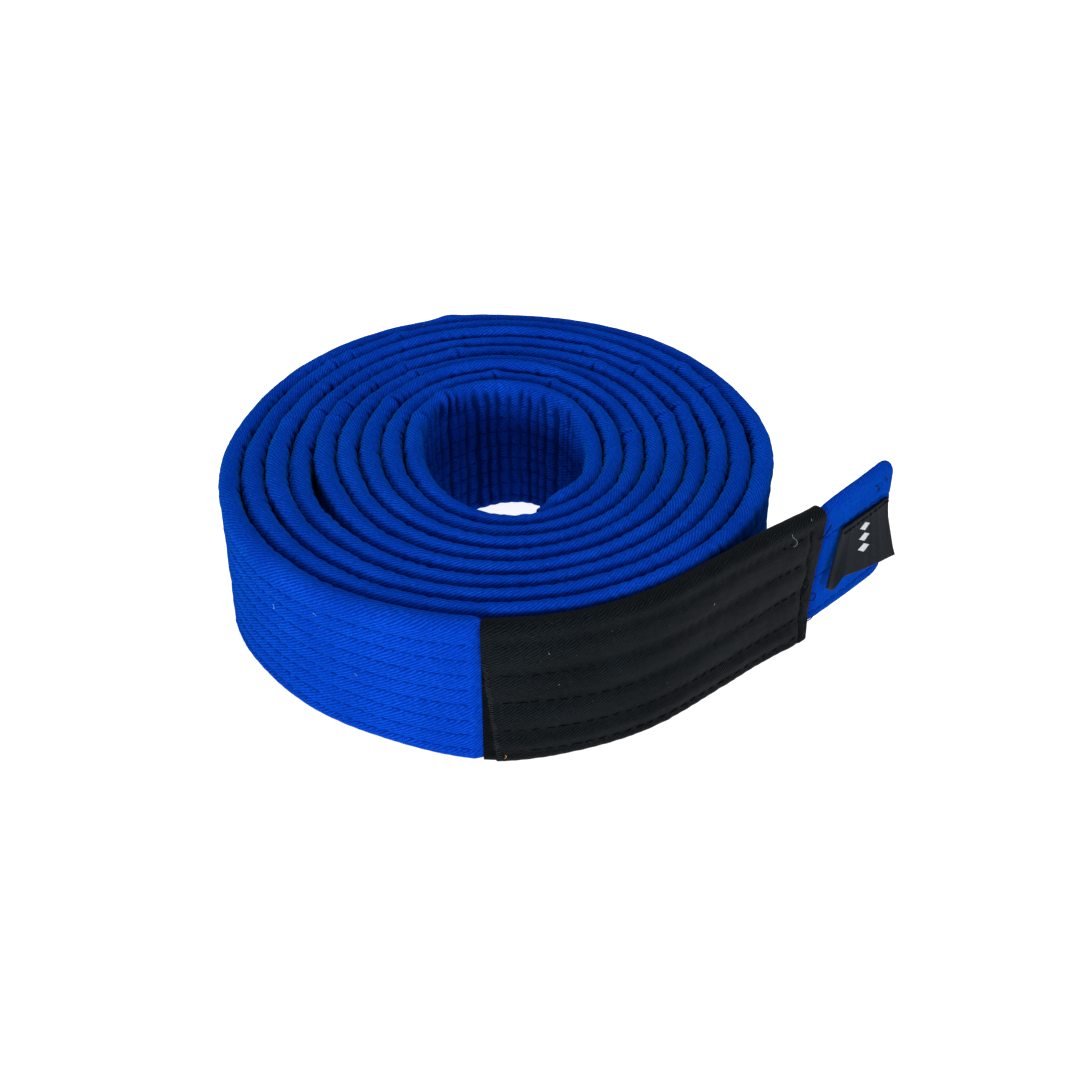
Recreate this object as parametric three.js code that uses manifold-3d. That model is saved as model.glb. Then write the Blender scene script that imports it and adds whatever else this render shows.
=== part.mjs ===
// A martial arts belt rolled up flat and standing on its long edge, in millimetres, +Z up.
// The belt is one long quilted strip: a blue twill cover folded round two cotton core plies.
// It winds counter-clockwise and outward from a free inner end in the eye of the roll.
// The outer end leaves the roll as a free tail, which carries a black rank sleeve and a size label.
// The strip is cut into rigid stretches that bend at upright knuckles.
// Each knuckle is a round nose that turns in a round socket.

import * as THREE from "three";
import { mergeVertices } from "three/addons/utils/BufferGeometryUtils.js";
import Module from "manifold-3d";

// The strip
const BELT_WIDTH = 44;
const BELT_HALF = 2.35; // half the quilted thickness
const CLOTH = 0.7; // one folded wall of the cover
const GAP = 0.3; // clearance between touching pieces
const FOLD = 1.1; // how far the long edges are rounded over
const SOCKET = BELT_HALF + GAP; // radius of a knuckle's socket

// The roll: its middle line as a radius that grows with the winding angle, from eye to rim
const START_ANGLE = -72; // where the inner end lies, in degrees round the roll
const WOUND = 3240; // winding angle over which the eye's shape turns into the rim's
const START_RADIUS = 24.65;
const GROWTH = 49.8;
const EYE = { shiftX: 1.55, shiftY: 1.15, oval: -3.35, skew: -1.6 };
const RIM = { shiftX: -0.95, shiftY: 0.6, oval: -1.4, skew: 0.7 };
const ROLL_CENTRE = [-16.49, 1.16]; // the roll's middle, seen from the middle of the whole outline
const STATION = 15; // degrees between two stations of an outline

// The free tail goes on past the roll at a nearly steady heading
const LEAVE = 3260; // winding angle where the tail leaves the roll
const TAIL_PER_DEGREE = 1.283; // millimetres of tail for each further degree
const TAIL_CURVE = 0.11; // degrees of turn for each further degree

// Places along the strip, as winding angles
const BELT_START = 5;
const INNER_HINGE = 50;
const OUTER_TURN_HINGE = 3162;
const BAR_HINGE = 3211;
const SLEEVE_START = 3219;
const SLEEVE_END = 3296;
const TIP_HINGE = 3300.6;
const BELT_END = 3320.6;

// The rank sleeve: a black wrap over a stretch of belt that its stitching presses flatter
const SLEEVE_CLOTH = 0.8;
const PRESSED_HALF = 1.55;
const SLEEVE_HALF = PRESSED_HALF + GAP + SLEEVE_CLOTH;
const PRESSED_INSET = SLEEVE_CLOTH + GAP; // how much lower the belt is inside the sleeve, at each edge
const SQUEEZE = 4; // degrees over which the belt narrows into the sleeve

// The tip, narrower at its lower edge, with round corners
const TIP_RISE = 6;
const TIP_CORNER = 5;
const HEM = 4; // degrees of solid cloth at the closed ends

// Thread
const THREAD = 0.4;
const THREAD_WIDTH = 0.5;
const QUILT_ROWS = 8;
const QUILT_TOP = 37;
const QUILT_STEP = 4.7;
const SLEEVE_ROWS = 5;
const SLEEVE_TOP = 39.2;
const SLEEVE_STEP = 9.4;
const TIP_ROWS = [38.5, 34.4, 10.6];
const ROW_MARGIN = 3; // degrees between a row's end and the end of its stretch
const SEAM_RUN = 0.4; // degrees along the belt that an upright seam takes
const SEAM_MARGIN = 2; // how far an upright seam stays from the long edges

// The folded size label, sewn along its top edge
const LABEL_TOP = 31;
const LABEL_LENGTH = 17;
const LABEL_WIDTH = 21;
const LABEL_CLOTH = 0.5;
const LABEL_FLARE = 12; // degrees that it stands off the belt
const LABEL_START = 3304; // winding angle of its edge next to the sleeve
const LABEL_SEAM_RUN = 14; // degrees of belt along the label's top edge
const LABEL_SEAM_RISE = 0.6; // how far that seam lies above the label's top edge

const MATERIALS = {
  twill: new THREE.MeshStandardMaterial({ color: 0x0a36b4, roughness: 0.9, metalness: 0 }),
  core: new THREE.MeshStandardMaterial({ color: 0xe6dfcf, roughness: 0.95, metalness: 0 }),
  sleeve: new THREE.MeshStandardMaterial({ color: 0x16181b, roughness: 0.85, metalness: 0 }),
  blueThread: new THREE.MeshStandardMaterial({ color: 0x06227c, roughness: 0.7, metalness: 0 }),
  blackThread: new THREE.MeshStandardMaterial({ color: 0x0c0d0f, roughness: 0.7, metalness: 0 }),
  label: new THREE.MeshStandardMaterial({ color: 0x1b2029, roughness: 0.6, metalness: 0 }),
};

const wasm = await Module();
wasm.setup();

const belt = new THREE.Group();

// ---- the middle line of the strip ----

function rollPoint(winding) {
  const angle = THREE.MathUtils.degToRad(START_ANGLE + winding);
  const share = winding / WOUND;
  const mix = (key) => THREE.MathUtils.lerp(EYE[key], RIM[key], share);
  const radius =
    START_RADIUS +
    GROWTH * share +
    mix("shiftX") * Math.cos(angle) +
    mix("shiftY") * Math.sin(angle) +
    mix("oval") * Math.cos(2 * angle) +
    mix("skew") * Math.sin(2 * angle);
  return new THREE.Vector2(
    ROLL_CENTRE[0] + radius * Math.cos(angle),
    ROLL_CENTRE[1] + radius * Math.sin(angle),
  );
}

function rollHeading(winding) {
  const step = rollPoint(winding + 0.01).sub(rollPoint(winding - 0.01));
  return step.angle();
}

// The smooth middle line's point, forward direction and outward direction at a winding angle.
function smoothAt(winding) {
  const past = Math.max(0, winding - LEAVE);
  const turn = THREE.MathUtils.degToRad(TAIL_CURVE * past);
  const heading = rollHeading(Math.min(winding, LEAVE)) + turn;
  const point = rollPoint(Math.min(winding, LEAVE));
  if (past > 0) {
    const chord = heading - turn / 2;
    point.x += TAIL_PER_DEGREE * past * Math.cos(chord);
    point.y += TAIL_PER_DEGREE * past * Math.sin(chord);
  }
  const forward = new THREE.Vector2(Math.cos(heading), Math.sin(heading));
  const outward = new THREE.Vector2(forward.y, -forward.x);
  return { point, forward, outward };
}

// The same on the faceted line, whose corners are the stations, so that every piece is parallel
// to its neighbours wherever it starts and stops.
function pathAt(winding) {
  const before = Math.floor(winding / STATION) * STATION;
  const share = (winding - before) / STATION;
  const near = smoothAt(before);
  const far = smoothAt(before + STATION);
  return {
    point: near.point.lerp(far.point, share),
    forward: near.forward.lerp(far.forward, share),
    outward: near.outward.lerp(far.outward, share),
  };
}

// How many degrees of winding a length of belt takes near a winding angle.
function degreesFor(millimetres, winding) {
  const perDegree = pathAt(winding + 0.5).point.distanceTo(pathAt(winding - 0.5).point);
  return millimetres / perDegree;
}

function offsetPoint(winding, outwardBy, forwardBy = 0) {
  const { point, forward, outward } = pathAt(winding);
  return point.addScaledVector(outward, outwardBy).addScaledVector(forward, forwardBy);
}

// ---- outlines seen from above ----

// Winding angles of the stations between two ends, on the same rays in every turn.
function stations(from, to, margin) {
  const list = [];
  const first = Math.ceil((from + margin) / STATION) * STATION;
  for (let winding = first; winding < to - margin; winding += STATION) {
    list.push(winding);
  }
  return list;
}

// The half circle of a nose about its hinge, from one face of the strip to the other.
// side is 1 from the outward face and -1 from the inward face; ahead is 1 forward and -1 backward.
function nosePoints(winding, ahead, side) {
  const steps = 8;
  const points = [];
  for (let i = 0; i <= steps; i++) {
    const angle = (Math.PI * i) / steps;
    const outwardBy = side * BELT_HALF * Math.cos(angle);
    points.push(offsetPoint(winding, outwardBy, ahead * BELT_HALF * Math.sin(angle)));
  }
  return points;
}

// A stretch of strip seen from above. low and high give its two faces, as offsets from the middle line.
function stripOutline({ from, to, low, high, startEnd = "square", stopEnd = "square", extra = [] }) {
  const ends = [startEnd === "nose" ? [] : from, stopEnd === "nose" ? [] : to].flat();
  const inside = extra.filter((w) => w > from && w < to);
  const along = [...stations(from, to, 1), ...inside, ...ends].sort((a, b) => a - b);
  const outerSide = along.map((w) => offsetPoint(w, high(w)));
  const innerSide = along.map((w) => offsetPoint(w, low(w))).reverse();
  return new THREE.Shape([
    ...outerSide,
    ...(stopEnd === "nose" ? nosePoints(to, 1, 1) : []),
    ...innerSide,
    ...(startEnd === "nose" ? nosePoints(from, -1, -1) : []),
  ]);
}

// ---- solids ----

// An upright prism between two heights, its rims rounded over by fold.
function prism(shape, bottom, top, fold = 0) {
  const geometry = new THREE.ExtrudeGeometry(shape, {
    depth: top - bottom - 2 * fold,
    bevelEnabled: fold > 0,
    bevelThickness: fold,
    bevelSize: fold,
    bevelOffset: -fold,
    bevelSegments: 1,
    curveSegments: 6,
  });
  return geometry.translate(0, 0, bottom + fold);
}

function toManifold(geometry) {
  const bare = geometry.clone();
  bare.deleteAttribute("normal");
  bare.deleteAttribute("uv");
  const merged = mergeVertices(bare, 1e-4);
  return new wasm.Manifold(
    new wasm.Mesh({
      numProp: 3,
      vertProperties: new Float32Array(merged.attributes.position.array),
      triVerts: new Uint32Array(merged.index.array),
    }),
  );
}

function toGeometry(manifold) {
  const mesh = manifold.getMesh();
  const geometry = new THREE.BufferGeometry();
  geometry.setAttribute("position", new THREE.BufferAttribute(mesh.vertProperties, 3));
  geometry.setIndex(new THREE.BufferAttribute(mesh.triVerts, 1));
  geometry.computeVertexNormals();
  return geometry;
}

function subtract(geometry, cutter) {
  return toGeometry(toManifold(geometry).subtract(toManifold(cutter)));
}

function intersect(geometry, keeper) {
  return toGeometry(toManifold(geometry).intersect(toManifold(keeper)));
}

function addPiece(name, geometry, material) {
  const mesh = new THREE.Mesh(geometry, material);
  mesh.name = name;
  belt.add(mesh);
}

// A band of constant offsets between two winding angles, such as a core ply or a thread.
function band(from, to, low, high, bottom, top) {
  return prism(stripOutline({ from, to, low: () => low, high: () => high }), bottom, top);
}

// ---- a stretch of belt: cover and two core plies ----

// The upright cylinder that hollows out a socket.
function socketCutter(winding) {
  const { point } = pathAt(winding);
  const cutter = new THREE.CylinderGeometry(SOCKET, SOCKET, 2 * BELT_WIDTH, 20);
  return cutter.rotateX(Math.PI / 2).translate(point.x, point.y, BELT_WIDTH / 2);
}

// half gives half the thickness at a winding angle. A closed end keeps a solid hem, and at a
// knuckle the cover is hollow right through while the core plies stop clear of the socket.
function addStretch(stretch) {
  const { name, from, to, startEnd, stopEnd, extra = [] } = stretch;
  const half = stretch.half ?? (() => BELT_HALF);
  const bottom = stretch.bottom ?? 0;
  const top = stretch.top ?? BELT_WIDTH;
  const slotFrom = startEnd === "square" ? from + HEM : from - degreesFor(SOCKET, from);
  const slotTo = stopEnd === "square" ? to - HEM : to + degreesFor(SOCKET, to);
  const low = (w) => -half(w);
  const shell = prism(
    stripOutline({ from, to, low, high: half, startEnd, stopEnd, extra }),
    bottom,
    top,
    FOLD,
  );
  const slot = prism(
    stripOutline({
      from: slotFrom,
      to: slotTo,
      low: (w) => CLOTH - half(w),
      high: (w) => half(w) - CLOTH,
      extra,
    }),
    bottom + CLOTH,
    top - CLOTH,
  );
  let cover = subtract(shell, slot);
  if (startEnd === "socket") {
    cover = subtract(cover, socketCutter(from));
  }
  if (stopEnd === "socket") {
    cover = subtract(cover, socketCutter(to));
  }
  if (stretch.trim) {
    cover = intersect(cover, stretch.trim);
  }
  addPiece("cover_" + name, cover, MATERIALS.twill);

  const coreFrom = startEnd === "square" ? slotFrom + GAP : from + degreesFor(SOCKET + GAP, from);
  const coreTo = stopEnd === "square" ? slotTo - GAP : to - degreesFor(SOCKET + GAP, to);
  const coreBottom = bottom + CLOTH + GAP;
  const coreTop = top - CLOTH - GAP;
  const face = (w) => half(w) - CLOTH - GAP;
  const plies = [
    ["core_ply_inner_", (w) => -face(w), () => -GAP / 2],
    ["core_ply_outer_", () => GAP / 2, face],
  ];
  for (const [prefix, plyLow, plyHigh] of plies) {
    const outline = stripOutline({ from: coreFrom, to: coreTo, low: plyLow, high: plyHigh, extra });
    addPiece(prefix + name, prism(outline, coreBottom, coreTop), MATERIALS.core);
  }
}

// Half thickness of the belt where the rank sleeve presses it.
function pressedHalf(winding) {
  const into = THREE.MathUtils.smoothstep(winding, SLEEVE_START - SQUEEZE, SLEEVE_START);
  const outOf = THREE.MathUtils.smoothstep(winding, SLEEVE_END, SLEEVE_END + SQUEEZE / 2);
  return THREE.MathUtils.lerp(BELT_HALF, PRESSED_HALF, into - outOf);
}

// A slab across the tip with the side view of its round corners.
function tipTrim() {
  const { point, forward } = pathAt(TIP_HINGE);
  const before = -2 * BELT_HALF;
  const depth = 10 * BELT_HALF;
  const length = offsetPoint(BELT_END, 0).distanceTo(point);
  const side = new THREE.Shape();
  side.moveTo(before, 0);
  side.lineTo(length - TIP_CORNER, 0);
  side.lineTo(length - TIP_CORNER, TIP_RISE);
  side.absarc(length - TIP_CORNER, TIP_RISE + TIP_CORNER, TIP_CORNER, -Math.PI / 2, 0, false);
  side.absarc(length - TIP_CORNER, BELT_WIDTH - TIP_CORNER, TIP_CORNER, 0, Math.PI / 2, false);
  side.lineTo(before, BELT_WIDTH);
  const slab = new THREE.ExtrudeGeometry(side, { depth, bevelEnabled: false, curveSegments: 6 });
  return slab
    .translate(0, 0, -depth / 2)
    .rotateX(Math.PI / 2)
    .rotateZ(forward.angle())
    .translate(point.x, point.y, 0);
}

addStretch({ name: "inner_end", from: BELT_START, to: INNER_HINGE, startEnd: "square", stopEnd: "nose" });
addStretch({
  name: "coil",
  from: INNER_HINGE,
  to: OUTER_TURN_HINGE,
  startEnd: "socket",
  stopEnd: "socket",
});
addStretch({
  name: "outer_turn",
  from: OUTER_TURN_HINGE,
  to: BAR_HINGE,
  startEnd: "nose",
  stopEnd: "socket",
});
addStretch({
  name: "bar",
  from: BAR_HINGE,
  to: TIP_HINGE,
  startEnd: "nose",
  stopEnd: "socket",
  half: pressedHalf,
  bottom: PRESSED_INSET,
  top: BELT_WIDTH - PRESSED_INSET,
  extra: [SLEEVE_START - SQUEEZE, SLEEVE_START, SLEEVE_END, SLEEVE_END + SQUEEZE / 2],
});
addStretch({
  name: "tip",
  from: TIP_HINGE,
  to: BELT_END,
  startEnd: "nose",
  stopEnd: "square",
  bottom: TIP_RISE,
  trim: tipTrim(),
});

// ---- the rank sleeve ----

const sleeveInside = PRESSED_HALF + GAP;
addPiece(
  "rank_sleeve",
  subtract(
    prism(
      stripOutline({
        from: SLEEVE_START,
        to: SLEEVE_END,
        low: () => -SLEEVE_HALF,
        high: () => SLEEVE_HALF,
      }),
      0,
      BELT_WIDTH,
      FOLD / 2,
    ),
    band(
      SLEEVE_START - 1,
      SLEEVE_END + 1,
      -sleeveInside,
      sleeveInside,
      SLEEVE_CLOTH,
      BELT_WIDTH - SLEEVE_CLOTH,
    ),
  ),
  MATERIALS.sleeve,
);

// ---- stitching, as runs of thread just proud of the cloth ----

function addRow(name, from, to, face, height, material) {
  const low = face + GAP;
  addPiece(name, band(from, to, low, low + THREAD, height, height + THREAD_WIDTH), material);
}

for (let row = 0; row < QUILT_ROWS; row++) {
  const height = QUILT_TOP - row * QUILT_STEP;
  const from = OUTER_TURN_HINGE + ROW_MARGIN;
  addRow("quilt_row_" + (row + 1), from, BAR_HINGE - ROW_MARGIN, BELT_HALF, height, MATERIALS.blueThread);
}

for (let row = 0; row < SLEEVE_ROWS; row++) {
  const height = SLEEVE_TOP - row * SLEEVE_STEP;
  const from = SLEEVE_START + ROW_MARGIN;
  const to = SLEEVE_END - ROW_MARGIN - 1;
  addRow("sleeve_row_" + (row + 1), from, to, SLEEVE_HALF, height, MATERIALS.blackThread);
}

TIP_ROWS.forEach((height, row) => {
  const from = TIP_HINGE + ROW_MARGIN;
  addRow("tip_row_" + (row + 1), from, BELT_END - ROW_MARGIN, BELT_HALF, height, MATERIALS.blueThread);
});

// Upright seams. inward puts the thread on the face that looks into the roll.
function addSeam(name, winding, face, material, inward = false) {
  const near = face + GAP;
  const far = near + THREAD;
  const low = inward ? -far : near;
  const high = inward ? -near : far;
  const seam = band(winding, winding + SEAM_RUN, low, high, SEAM_MARGIN, BELT_WIDTH - SEAM_MARGIN);
  addPiece(name, seam, material);
}

addSeam("sleeve_seam_left", SLEEVE_START + 1.2, SLEEVE_HALF, MATERIALS.blackThread);
addSeam("sleeve_seam_right", SLEEVE_END - 3, SLEEVE_HALF, MATERIALS.blackThread);
addSeam("inner_hem_seam", BELT_START + HEM, BELT_HALF, MATERIALS.blueThread, true);

// ---- the size label: one ribbon folded double, its fold hanging down ----

function labelGeometry() {
  const layer = LABEL_CLOTH;
  const depth = 2 * layer + GAP;
  const fold = depth / 2;
  const profile = new THREE.Shape();
  profile.moveTo(0, 0);
  profile.lineTo(layer, 0);
  profile.lineTo(layer, fold - LABEL_LENGTH);
  profile.lineTo(layer + GAP, fold - LABEL_LENGTH);
  profile.lineTo(layer + GAP, 0);
  profile.lineTo(depth, 0);
  profile.lineTo(depth, fold - LABEL_LENGTH);
  profile.absarc(fold, fold - LABEL_LENGTH, fold, 0, -Math.PI, true);
  profile.lineTo(0, 0);
  const ribbon = new THREE.ExtrudeGeometry(profile, {
    depth: LABEL_WIDTH,
    bevelEnabled: false,
    curveSegments: 6,
  });
  // The profile's x runs out from the belt and its y runs up; the ribbon's width follows the belt.
  const flare = THREE.MathUtils.degToRad(LABEL_FLARE);
  return ribbon.rotateZ(flare).rotateX(Math.PI / 2).translate(0, LABEL_WIDTH, 0);
}

const labelFace = BELT_HALF + 3 * GAP + THREAD;
const labelPlace = pathAt(LABEL_START);
const labelMesh = new THREE.Mesh(labelGeometry(), MATERIALS.label);
labelMesh.name = "size_label";
labelMesh.position.set(
  labelPlace.point.x + labelPlace.outward.x * labelFace,
  labelPlace.point.y + labelPlace.outward.y * labelFace,
  LABEL_TOP,
);
labelMesh.rotation.z = labelPlace.outward.angle();
belt.add(labelMesh);

const labelSeamEnd = LABEL_START + LABEL_SEAM_RUN;
const labelSeamHeight = LABEL_TOP + LABEL_SEAM_RISE;
addRow("label_stitch", LABEL_START, labelSeamEnd, BELT_HALF, labelSeamHeight, MATERIALS.blackThread);

export default belt;
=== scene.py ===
"""The looks of a rolled martial arts belt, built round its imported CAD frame.

The belt is one long quilted strip. Every piece is worked out from the strip's middle line, which is
the CAD part's own. Lengths are millimetres, and mesh_from() turns them into metres.
"""

import math

import bpy
import numpy as np
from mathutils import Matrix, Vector


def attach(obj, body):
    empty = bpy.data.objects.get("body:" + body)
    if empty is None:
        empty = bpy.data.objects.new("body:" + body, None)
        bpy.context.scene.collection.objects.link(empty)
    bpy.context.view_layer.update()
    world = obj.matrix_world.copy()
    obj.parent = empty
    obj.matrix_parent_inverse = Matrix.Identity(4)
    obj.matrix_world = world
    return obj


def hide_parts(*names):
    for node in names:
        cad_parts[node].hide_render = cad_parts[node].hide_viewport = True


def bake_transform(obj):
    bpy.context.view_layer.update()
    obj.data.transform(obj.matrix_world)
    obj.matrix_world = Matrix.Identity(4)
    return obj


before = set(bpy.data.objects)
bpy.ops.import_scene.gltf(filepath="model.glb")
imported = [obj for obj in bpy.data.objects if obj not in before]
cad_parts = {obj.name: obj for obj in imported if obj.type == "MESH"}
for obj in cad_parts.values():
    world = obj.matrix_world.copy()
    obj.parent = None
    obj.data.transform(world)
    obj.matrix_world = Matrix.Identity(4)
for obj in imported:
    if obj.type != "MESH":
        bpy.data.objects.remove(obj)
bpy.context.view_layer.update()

MM = 0.001

# ---- the strip, as in the CAD part ----
BELT_WIDTH = 44
START_ANGLE = -72
WOUND = 3240
START_RADIUS = 24.65
GROWTH = 49.8
EYE = {"shift_x": 1.55, "shift_y": 1.15, "oval": -3.35, "skew": -1.6}
RIM = {"shift_x": -0.95, "shift_y": 0.6, "oval": -1.4, "skew": 0.7}
ROLL_CENTRE = np.array([-16.49, 1.16])
LEAVE = 3260
TAIL_PER_DEGREE = 1.283
TAIL_CURVE = 0.11

# ---- places along the strip, as winding angles ----
BELT_START = 1
INNER_HINGE = 50
INNER_FLEX_END = 100
EYE_SHOWN = 470  # up to here, a little past what the eye shows, the inward face is modelled finely
RIM_STITCHED = 2700  # from here on the outward face has its stitches
RIM_SHOWN = 2780  # from here on, well before it can be seen, the outward face is modelled finely
SETTLED = (3100, 3150)  # between these the roll's unevenness fades out
TURN_FLEX_START = 3132
OUTER_TURN_HINGE = 3162
TURN_FLEX_END = 3188
BAR_HINGE = 3211
SLEEVE_START = 3219
BAR_END = 3226
TIP_FLEX_START = 3286
SLEEVE_END = 3296
TIP_HINGE = 3300.6
LABEL_START = 3304
TAILS_AT = 3318  # where two cut thread ends lie on the tip
BELT_END = 3323
TURN = 360
TURNS = 9  # full turns counted from the rim, which is turn 1
NO_TURN_INSIDE = 365  # below this winding angle the strip faces the open eye
NO_TURN_OUTSIDE = 2960  # above it nothing lies outside the strip
TAIL_PARTS = 2904  # where the tail outside starts to draw away, which leaves the strip more room
TAIL_GONE = 2945  # where it lies so far off that the strip is as thick as it likes

# ---- the quilted section ----
FOLD = 2.6  # how far a long edge is rounded over
LOW_FOLD = FOLD
TOP_FOLD = BELT_WIDTH - FOLD
FACE = TOP_FOLD - LOW_FOLD
FOLD_ARC = math.pi * FOLD
RIDGE = FACE + FOLD_ARC / 2  # cloth coordinate of the top edge's ridge
FACE_HALF = 2.2  # half the thickness along a row of stitches
FOLD_HALF = 2.95  # half the thickness at the puffed edges, where the next turn leaves room
FREE_FOLD_HALF = 2.6  # the same on a side with no turn beside it
PAD = 0.3  # how far the cloth swells between two rows
VALLEY = 0.85  # half the width of the valley that a row of stitches pulls down
NEEDLE_LINE = 0.35  # the same for the narrow line of the needle holes
CREASE = 0.09  # clear space left in a crease between two turns
ROW_TOP = 37
ROW_STEP = 4.7
ROWS = [ROW_TOP - ROW_STEP * row for row in range(8)]
TIP_ROWS = ROWS[1::3]
STITCH = 3.3  # from one needle hole to the next
END_ROUND = 2.2  # how far a closed end is rounded
END_HALF = 0.45  # share of the thickness left at the very end
RIDGE_CALM = 0.72  # how much of the relief is pulled flat along an edge's ridge
TIP_CORNER = 5.5  # radius of the tip's rounded corners

# ---- the rank sleeve ----
SLEEVE_ROWS = [39.2, 29.6, 20.0, 10.6, 3.6]
SLEEVE_CLOTH = 0.45
SLEEVE_HALF = 2.45
SLEEVE_PAD = 0.75  # how far it swells between two rows
SLEEVE_CORNER = 37  # height above which its right end is rounded off
HEM_STEP = 0.8  # how far the sleeve's turned-in left edge lies below its top layer

# ---- the label ----
LABEL_TOP = 31
LABEL_WIDTH = 21
LABEL_LENGTH = 17.5
LABEL_CLOTH = 0.28
LABEL_GAP = 0.1


# ---- camera, lights and floor ----

CAMERA_AT = (-6.73, -360.8, 273.4)
LOOKS_AT = (-6.73, -12.73, 22)


def make_camera():
    data = bpy.data.cameras.new("camera")
    data.lens = 53.33
    data.sensor_width = 36
    data.clip_start = 0.01
    data.clip_end = 20
    camera = bpy.data.objects.new("camera", data)
    bpy.context.scene.collection.objects.link(camera)
    camera.location = Vector(CAMERA_AT) * MM
    sight = (Vector(LOOKS_AT) - Vector(CAMERA_AT)).normalized()
    camera.rotation_euler = sight.to_track_quat("-Z", "Y").to_euler()
    bpy.context.scene.camera = camera


def make_lamp(name, place, size, power):
    data = bpy.data.lights.new(name, "AREA")
    data.shape = "DISK"
    data.size = size
    data.energy = power
    lamp = bpy.data.objects.new(name, data)
    bpy.context.scene.collection.objects.link(lamp)
    lamp.location = place
    lamp.rotation_euler = (-Vector(place)).to_track_quat("-Z", "Y").to_euler()


def make_floor():
    bpy.ops.mesh.primitive_plane_add(size=8, location=(0, 0, 0))
    floor = bpy.context.object
    floor.name = "floor"
    material = bpy.data.materials.new("floor_white")
    material.use_nodes = True
    shader = material.node_tree.nodes["Principled BSDF"]
    finish = {
        "Base Color": (0.5, 0.5, 0.5, 1),
        "Roughness": 0.9,
        "Specular IOR Level": 0.0,
        "Emission Color": (1, 1, 1, 1),
        "Emission Strength": 0.9,
    }
    for name, value in finish.items():
        shader.inputs[name].default_value = value
    floor.data.materials.append(material)


def make_studio():
    world = bpy.data.worlds.new("studio")
    bpy.context.scene.world = world
    world.use_nodes = True
    backdrop = world.node_tree.nodes["Background"]
    backdrop.inputs["Color"].default_value = (1, 1, 1, 1)
    backdrop.inputs["Strength"].default_value = 0.36
    make_lamp("key", (-0.7, -1.35, 0.25), 0.4, 24)
    make_lamp("fill", (0.8, -1.3, 0.25), 0.5, 9)
    make_lamp("top", (0.1, 0.6, 1.4), 0.8, 16)
    bpy.context.scene.view_settings.view_transform = "Standard"


# ---- smooth noise from seeded waves ----


def wander(x, seed, longest, shortest, waves=5):
    """Noise of about unit size along one line."""
    rng = np.random.default_rng(seed)
    phases = rng.uniform(0, 2 * np.pi, waves)
    lengths = np.geomspace(longest, shortest, waves)
    total = sum(np.sin(2 * np.pi * x / length + phase) for length, phase in zip(lengths, phases))
    return total / math.sqrt(waves)


def ripple(x, y, seed, longest, shortest, waves=8):
    """Noise of about unit size over a surface."""
    rng = np.random.default_rng(seed)
    phases = rng.uniform(0, 2 * np.pi, waves)
    angles = rng.uniform(0, np.pi, waves)
    lengths = np.geomspace(longest, shortest, waves)
    total = 0
    for length, angle, phase in zip(lengths, angles, phases):
        along = x * math.cos(angle) + y * math.sin(angle)
        total = total + np.sin(2 * np.pi * along / length + phase)
    return total / math.sqrt(waves)


def smooth(low, high, x):
    """0 below low, 1 above high, and a soft step between them."""
    t = np.clip((x - low) / (high - low), 0, 1)
    return t * t * (3 - 2 * t)


def bell(x, width):
    """1 at 0, fading to nothing at about twice the width."""
    return np.exp(-((x / width) ** 2))


# ---- the middle line ----


def winding_of(turn, angle):
    """The winding angle at a direction round the roll, on the given turn counted from the rim."""
    return (angle - START_ANGLE) % TURN + TURN * (TURNS - turn)


# Where a turn sits away from its place in the CAD: turn, direction, spread in degrees, millimetres outward.
# They open the loose gap between turns 4 and 5 on the left, spread the turns at the front, and carry the
# three outermost turns in or out.
LOOSE = [
    (3, 203, 17, 0.3),
    (4, 205, 15, 0.85),
    (5, 205, 15, -0.85),
    (6, 203, 18, -0.5),
    (7, 202, 20, -0.25),
    (9, 270, 26, 1.2),
    (8, 270, 26, 0.95),
    (7, 270, 26, 0.7),
    (6, 270, 26, 0.5),
    (5, 270, 26, 0.3),
    (4, 270, 26, 0.15),
    (1, 200, 28, 0.9),
    (2, 200, 28, 0.55),
    (1, 355, 34, 1.9),
    (2, 355, 34, 0.9),
    (3, 355, 34, 0.4),
    (1, 30, 10, -0.4),
    (1, 160, 28, -1.1),
    (2, 160, 28, -0.7),
    (3, 160, 28, -0.35),
]
# Where a turn stands higher than its neighbours: turn, direction, spread in degrees, millimetres up.
RISES = [
    (1, 75, 75, -0.9),
    (1, 190, 40, -0.3),
    (2, 40, 40, 0.3),
    (3, 92, 38, 1.2),
    (4, 120, 30, 0.3),
    (5, 60, 30, 0.5),
    (7, 88, 40, 1.5),
    (8, 100, 40, 0.5),
    (9, 80, 60, 0.6),
    (6, 170, 30, 0.4),
    (3, 190, 25, 0.5),
    (5, 330, 30, 0.4),
    (9, 270, 30, -0.5),
    (8, 270, 30, -0.3),
    (1, 104, 3, 0.8),
    (1, 99, 7, 0.3),
]
# Where the lower edge of an inner turn has slipped up off the floor, in the same terms.
SLIPS = [(9, 74, 29, 3.5), (8, 74, 29, 3.9), (7, 74, 28, 2.7), (1, 246, 17, 2.6), (1, 219, 17, 2.4)]


def sum_of_bells(winding, bells):
    """The sum of a list's entries, each fading out on both sides of its place."""
    total = np.zeros_like(winding, dtype=float)
    for turn, angle, spread, height in bells:
        total += height * bell(winding - winding_of(turn, angle), spread)
    return total


def roll_radius(winding):
    """Distance of the even spiral from the roll's centre."""
    angle = np.radians(START_ANGLE + winding)
    share = winding / WOUND

    def mix(key):
        return EYE[key] + (RIM[key] - EYE[key]) * share

    return (
        START_RADIUS
        + GROWTH * share
        + mix("shift_x") * np.cos(angle)
        + mix("shift_y") * np.sin(angle)
        + mix("oval") * np.cos(2 * angle)
        + mix("skew") * np.sin(2 * angle)
    )


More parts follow.
